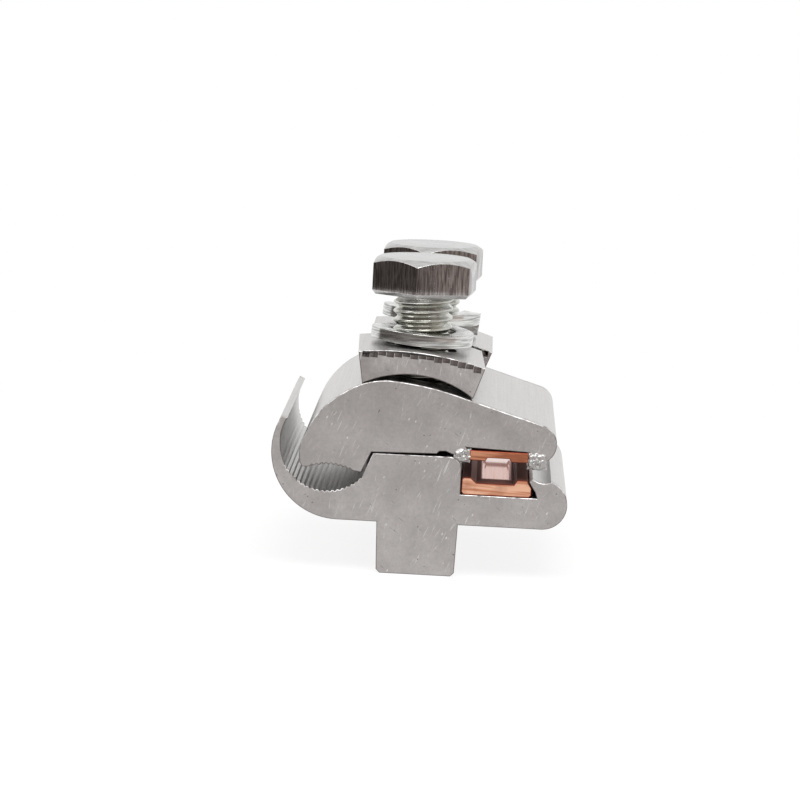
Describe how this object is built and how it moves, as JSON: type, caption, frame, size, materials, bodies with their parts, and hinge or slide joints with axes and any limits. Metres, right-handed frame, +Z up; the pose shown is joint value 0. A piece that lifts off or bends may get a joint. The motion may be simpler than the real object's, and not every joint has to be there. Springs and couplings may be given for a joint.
{
  "type": "parallel groove clamp",
  "caption": "Bimetallic two-bolt parallel groove clamp: T-stem hook body, humped keeper, copper-lined channel, arched saddles and hex bolts.",
  "frame": {"origin": "centre of the stem's flat foot", "axes": "+Z up along the bolts, from the stem to the bolt heads; +Y along the two conductors; +X from the aluminium conductor's hook to the copper-lined channel"},
  "size_m": [0.0394, 0.04, 0.0413],
  "materials": {
    "aluminium_body": "sawn and sanded extruded aluminium",
    "aluminium_saddle": "sawn extruded aluminium",
    "copper": "bright drawn copper",
    "zinc_plated_steel": "clear zinc plate",
    "spring_steel": "zinc plated spring steel"
  },
  "bodies": {
    "base": {"base_body": "aluminium_body", "lower_copper_insert": "copper"},
    "keeper": {"keeper": "aluminium_body", "upper_copper_insert": "copper", "front_saddle": "aluminium_saddle", "rear_saddle": "aluminium_saddle", "front_spring_washer": "spring_steel", "rear_spring_washer": "spring_steel"},
    "front_bolt": {"front_bolt": "zinc_plated_steel"},
    "rear_bolt": {"rear_bolt": "zinc_plated_steel"}
  },
  "joints": [
    {"name": "jaw_lift", "type": "slide", "parent": "base", "child": "keeper", "axis": [0, 0, 1], "range_m": [0, 0.008]},
    {"name": "front_bolt_turn", "type": "hinge", "parent": "keeper", "child": "front_bolt", "pos_m": [-0.0008, -0.01, 0.03635], "axis": [0, 0, 1], "range_deg": [0, 2304]},
    {"name": "rear_bolt_turn", "type": "hinge", "parent": "keeper", "child": "rear_bolt", "pos_m": [-0.0001, 0.01, 0.03635], "axis": [0, 0, 1], "range_deg": [0, 2304]}
  ],
  "couplings": [
    {"joint": "front_bolt_turn", "follows": "jaw_lift", "rad_per_m": 5026.5},
    {"joint": "rear_bolt_turn", "follows": "jaw_lift", "rad_per_m": 5026.5}
  ]
}
